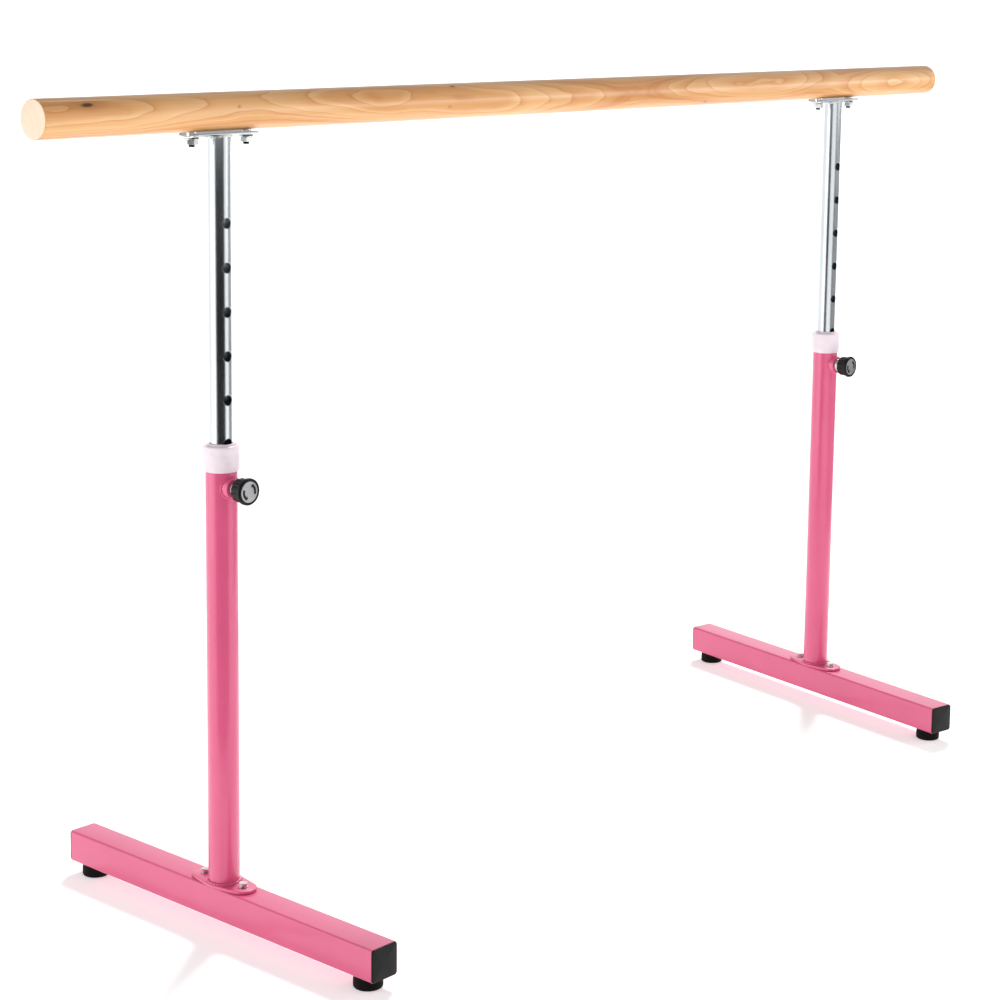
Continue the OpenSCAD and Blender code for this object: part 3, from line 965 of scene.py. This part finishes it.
def flat_shape(skin, outline, low, high):
    """A thin plate of any outline."""
    bottom = skin.add([(x, y, low) for x, y in outline])
    top = skin.add([(x, y, high) for x, y in outline])
    skin.join(bottom, top)
    skin.faces.append(tuple(top))
    skin.faces.append(tuple(reversed(bottom)))


# ---------------------------------------------------------------- sliding tubes and saddles


def make_tube(side):
    """A tube whose wall is pierced by the row of adjustment holes on its -Y side."""
    skin = Skin()
    columns = 64
    span = 6
    row_h = 1.35
    step = TURN / columns
    bore = TUBE_R - TUBE_WALL
    centres = [PIN_Z + HOLE_PITCH * k for k in range(HOLE_COUNT)]
    face = -math.pi / 2

    def top_z(a):
        return SADDLE_AXIS_Z - math.sqrt(SADDLE_OUT_R**2 - (TUBE_R * math.sin(a)) ** 2)

    def wall(r):
        def point(a, z):
            return (r * math.cos(a), r * math.sin(a), z)

        levels = [TUBE_LOW]
        for c in centres:
            levels += [c + row_h * k for k in range(-span, span + 1)]
        levels += [SADDLE_LOW - 6]
        grid = {}
        for j, z in enumerate(levels):
            for i in range(columns):
                grid[i, j] = skin.add([point(face + step * i, z)])[0]
        last = len(levels)
        for i in range(columns):
            a = face + step * i
            grid[i, last] = skin.add([point(a, top_z(a))])[0]
        holes = [1 + k * (2 * span + 1) for k in range(len(centres))]
        for j in range(last):
            for i in range(columns):
                i2 = (i + 1) % columns
                column = (i + columns // 2) % columns - columns // 2
                in_columns = -span <= column < span
                in_rows = any(b <= j < b + 2 * span for b in holes)
                if in_columns and in_rows:
                    continue
                skin.faces.append((grid[i, j], grid[i2, j], grid[i2, j + 1], grid[i, j + 1]))
        rims = []
        for b, c in zip(holes, centres):
            ring = [(k, -span) for k in range(-span, span)]
            ring += [(span, k) for k in range(-span, span)]
            ring += [(k, span) for k in range(span, -span, -1)]
            ring += [(-span, k) for k in range(span, -span, -1)]
            outer = [grid[i % columns, b + span + k] for i, k in ring]
            rows = [outer]
            for f in (0.7, 0.4, 0.18, 0.0):
                row = []
                for i, k in ring:
                    t = math.atan2(k, i)
                    hole_r = HOLE_R + (HOLE_EDGE if r > bore else 0.0)
                    hole_a = math.asin(hole_r * math.cos(t) / r)
                    hole_z = hole_r * math.sin(t)
                    a = face + hole_a + (step * i - hole_a) * f
                    z = c + hole_z + (row_h * k - hole_z) * f
                    row.append(point(a, z))
                rows.append(skin.add(row))
            for one, two in zip(rows, rows[1:]):
                skin.join(one, two)
            rims.append(rows[-1])
        ends = [[grid[i, 0] for i in range(columns)], [grid[i, last] for i in range(columns)]]
        return ends, rims, ring

    outer_ends, outer_rims, ring = wall(TUBE_R)
    inner_ends, inner_rims, ring = wall(bore)
    for one, two in zip(outer_ends, inner_ends):
        skin.join(one, two)
    for c, one, two in zip(centres, outer_rims, inner_rims):
        row = []
        for i, k in ring:
            t = math.atan2(k, i)
            x = HOLE_R * math.cos(t)
            row.append((x, -math.sqrt(TUBE_R**2 - x**2) + HOLE_EDGE, c + HOLE_R * math.sin(t)))
        lip = skin.add(row)
        skin.join(one, lip)
        skin.join(lip, two)
    skin.moved(stand_place(side))
    piece(side + "_sliding_tube", skin, "barre", "bright_zinc", (side + "_tube",), sharp=25)


def make_saddle(side):
    """The curved sheet under the bar, its corners round and its edges softened."""
    skin = Skin()
    corner = 6.0
    mid_r = SADDLE_OUT_R - SADDLE_SHEET / 2
    outline = square_outline(SADDLE_X, SADDLE_Y, corner, steps=8)
    dense = []
    count = len(outline)
    for i, (x, y) in enumerate(outline):
        nx, ny = outline[(i + 1) % count]
        pieces = max(1, round(math.hypot(nx - x, ny - y) / 3))
        dense += [(x + (nx - x) * k / pieces, y + (ny - y) * k / pieces) for k in range(pieces)]

    def bent(x, y, lift):
        """Wraps a flat place on the sheet round the saddle's axis, lift above its middle."""
        a = math.asin(max(-1, min(1, y / SADDLE_OUT_R)))
        r = mid_r - lift
        return (x, r * math.sin(a), SADDLE_AXIS_Z - r * math.cos(a))

    half = SADDLE_SHEET / 2
    edge = 0.7
    rows = []
    for inset, lift in sheet_edge(half, edge):
        rows.append([bent(p.x, p.y, lift) for p in outline_offset(dense, inset)])
    ids = skin.rows(rows)
    # Both faces close in on their middle in steps, along X a hair less than along Y
    almost = 0.999
    for row, lift in ((ids[0], -half), (ids[-1], half)):
        ring = [skin.verts[i] for i in row]
        previous = row
        for share in (0.8, 0.6, 0.4, 0.2):
            inner = []
            for x, y in dense:
                inner.append(bent(x * (1 - (1 - share) * almost), y * share, lift))
            new = skin.add(inner)
            skin.join(previous, new)
            previous = new
        skin.join(previous, skin.add([bent(0, 0, lift)] * len(ring)))
    skin.moved(stand_place(side))
    piece(side + "_bar_saddle", skin, "barre", "bright_zinc", (side + "_saddle",), sharp=30)


def sheet_edge(half, edge):
    """(inset, lift) pairs round a sheet's edge, from its lower face to its upper."""
    pairs = []
    for a in (90, 60, 30, 0):
        t = math.radians(a)
        pairs.append((edge * (1 - math.cos(t)), -half + edge * (1 - math.sin(t))))
    return pairs + [(inset, -lift) for inset, lift in reversed(pairs)]


def make_saddle_weld(side):
    """The bead that joins the tube's coped end to the saddle."""
    skin = Skin()
    r = TUBE_R + 0.4

    def end_of_tube(a):
        z = SADDLE_AXIS_Z - math.sqrt(SADDLE_OUT_R**2 - (r * math.sin(a)) ** 2)
        return Vector((STAND_X[side] + r * math.cos(a), r * math.sin(a), z - 0.4))

    weld_bead(skin, end_of_tube, 160, 1.3, 0.4, 24)
    piece(side + "_saddle_weld", skin, "barre", "fastener_steel", sharp=60)


def both_studs(side):
    return [at(STAND_X[side] + sign * STUD_X, 0, 0) for sign in (-1, 1)]


def make_studs(side):
    """Threaded studs; the thread shows below the nuts."""
    skin = Skin()
    pitch = 1.25
    crest, root = STUD_R - 0.02, STUD_R - 0.7
    threaded = NUT_LOW + 1.5
    per_pitch = 8
    count = int((threaded - STUD_LOW) / pitch * per_pitch)
    rows_z = [STUD_LOW + 0.8 + pitch / per_pitch * k for k in range(count)]
    top = box_mm(side + "_studs")[1].z

    def thread(r, z, a):
        if r < root or z > threaded or z < STUD_LOW + 0.5:
            return r
        phase = (z / pitch - a / TURN) % 1.0
        return root + (crest - root) * (1 - abs(2 * phase - 1))

    profile = [(0, STUD_LOW), (root - 0.1, STUD_LOW), (root, STUD_LOW + 0.4)]
    profile += [(crest, z) for z in rows_z]
    profile += [(crest, threaded + 0.5), (crest, top), (0, top)]
    for place in both_studs(side):
        lathe(skin, profile, place, steps=48, shape=thread)
    piece(side + "_threaded_studs", skin, "barre", "black_oxide_steel", (side + "_studs",), sharp=50)


def make_stud_nuts(side):
    nuts, washers = Skin(), Skin()
    washer_r, hole_r = 8.5, STUD_R + 0.2
    corners = [
        (hole_r, NUT_TOP, 0.1),
        (washer_r, NUT_TOP, 0.35),
        (washer_r, SADDLE_LOW, 0.35),
        (hole_r, SADDLE_LOW, 0.1),
    ]
    for turn, place in zip((0.2, 0.9), both_studs(side)):
        hex_solid(nuts, NUT_FLATS, NUT_LOW, NUT_TOP, place @ Matrix.Rotation(turn, 4, "Z"), bore=STUD_R)
        lathe(washers, rounded(corners), place)
    piece(side + "_nuts", nuts, "barre", "fastener_steel", (side + "_stud_nuts",))
    piece(side + "_washers", washers, "barre", "fastener_steel", (side + "_stud_washers",))


for one_side in SIDES:
    make_base(one_side)
    make_end_caps(one_side)
    make_feet(one_side)
    make_flange(one_side)
    make_flange_bolts(one_side)
    make_post(one_side)
    make_post_weld(one_side)
    make_collar(one_side)
    make_boss(one_side)
    make_boss_weld(one_side)
    make_bushing(one_side)
    make_knob(one_side)
    make_disc(one_side)
    make_arrows(one_side)
    make_tube(one_side)
    make_saddle(one_side)
    make_saddle_weld(one_side)
    make_studs(one_side)
    make_stud_nuts(one_side)

# CAD nodes that stay as they are take their slot's material
SLOTS = {row["node"]: row["material_slot"] for row in frame["record"]["subparts"]}
for name, cad_piece in frame["nodes"].items():
    cad_piece.data.materials.clear()
    cad_piece.data.materials.append(MATERIALS[SLOTS[name]])

# ---------------------------------------------------------------- floor and light

# Direction towards the back sun
BACK_SUN = (0.557, 0.321, 0.766)


def one_face(name, corners):
    """An object of a single face, in metres, for the stage."""
    mesh = bpy.data.meshes.new(name)
    mesh.from_pydata(corners, [], [(0, 1, 2, 3)])
    face = bpy.data.objects.new(name, mesh)
    bpy.context.scene.collection.objects.link(face)
    return face


def make_floor():
    size = 120
    floor = one_face("floor", [(-size, -size, 0), (size, -size, 0), (size, size, 0), (-size, size, 0)])
    m = Recipe("pale_floor")
    m.set(Base_Color=(0.95, 0.95, 0.95, 1), Roughness=0.9, Specular_IOR_Level=0.1)
    m.set(Emission_Color=(1, 1, 1, 1), Emission_Strength=0.35)
    floor.data.materials.append(m.material)


def make_softbox(name, place, aim, size, radiance):
    """A large soft light; radiance is how bright its face is, next to a floor of about 1."""
    light = bpy.data.lights.new(name, "AREA")
    light.shape = "RECTANGLE"
    light.size, light.size_y = size
    light.energy = radiance * math.pi * size[0] * size[1]
    holder = bpy.data.objects.new(name, light)
    bpy.context.scene.collection.objects.link(holder)
    holder.location = place
    holder.rotation_euler = (Vector(aim) - Vector(place)).to_track_quat("-Z", "Y").to_euler()
    holder.visible_camera = False


def make_back_sun():
    """Lights the tops of the bases from behind, on the side away from the camera."""
    light = bpy.data.lights.new("back_sun", "SUN")
    light.energy = 2.6
    light.angle = math.radians(10)
    holder = bpy.data.objects.new("back_sun", light)
    bpy.context.scene.collection.objects.link(holder)
    holder.rotation_euler = Vector(BACK_SUN).to_track_quat("Z", "Y").to_euler()


def make_flag():
    """A strip that keeps the back sun off the top of the bar."""
    away, half_l, half_w = 0.5, 1.3, 0.08
    x, y, z = (away * part for part in BACK_SUN)
    z += BAR_Z * MM
    signs = ((-1, -1), (1, -1), (1, 1), (-1, 1))
    flag = one_face("bar_flag", [(x + i * half_l, y + j * half_w, z) for i, j in signs])
    flag.data.materials.append(Recipe("bar_flag").material)
    flag.visible_camera = False
    flag.visible_diffuse = False
    flag.visible_glossy = False
    flag.visible_transmission = False


def make_card(name, start, end, top, tone):
    """An upright card from start to end that only bright surfaces mirror, as a darker stripe."""
    low = 0.02
    card = one_face(name, [(*start, low), (*end, low), (*end, top), (*start, top)])
    m = Recipe(name)
    m.set(Base_Color=(tone, tone, tone, 1), Roughness=1.0, Specular_IOR_Level=0.0)
    card.data.materials.append(m.material)
    card.visible_camera = False
    card.visible_diffuse = False
    card.visible_shadow = False
    card.visible_transmission = False


def make_world():
    """A white room whose ceiling is dimmer than its walls."""
    world = bpy.data.worlds.new("studio")
    bpy.context.scene.world = world
    world.use_nodes = True
    tree = world.node_tree
    direction = tree.nodes.new("ShaderNodeTexCoord")
    height = tree.nodes.new("ShaderNodeSeparateXYZ")
    fade = tree.nodes.new("ShaderNodeMapRange")
    fade.interpolation_type = "SMOOTHSTEP"
    for key, value in (("From Min", 0.2), ("From Max", 0.85), ("To Min", 1.0), ("To Max", 0.30)):
        fade.inputs[key].default_value = value
    tree.links.new(direction.outputs["Generated"], height.inputs[0])
    tree.links.new(height.outputs["Z"], fade.inputs["Value"])
    sky = tree.nodes["Background"]
    sky.inputs["Color"].default_value = (1.0, 1.0, 1.0, 1)
    tree.links.new(fade.outputs["Result"], sky.inputs["Strength"])


make_floor()
make_world()
make_card("dark_card", (-0.559, -0.740), (-1.248, -0.066), 0.95, 0.012)
make_card("grey_card", (0.517, -1.224), (2.300, 0.000), 0.95, 0.24)
make_softbox("left_box", (-2.92, 1.30, 1.2), (0, 0, 0.8), (2.2, 2.4), 1.15)
make_softbox("key_box", (2.20, -2.00, 1.0), (0, 0, 0.95), (2.4, 0.8), 3.0)
make_back_sun()
make_flag()
bpy.context.scene.view_settings.view_transform = "Standard"
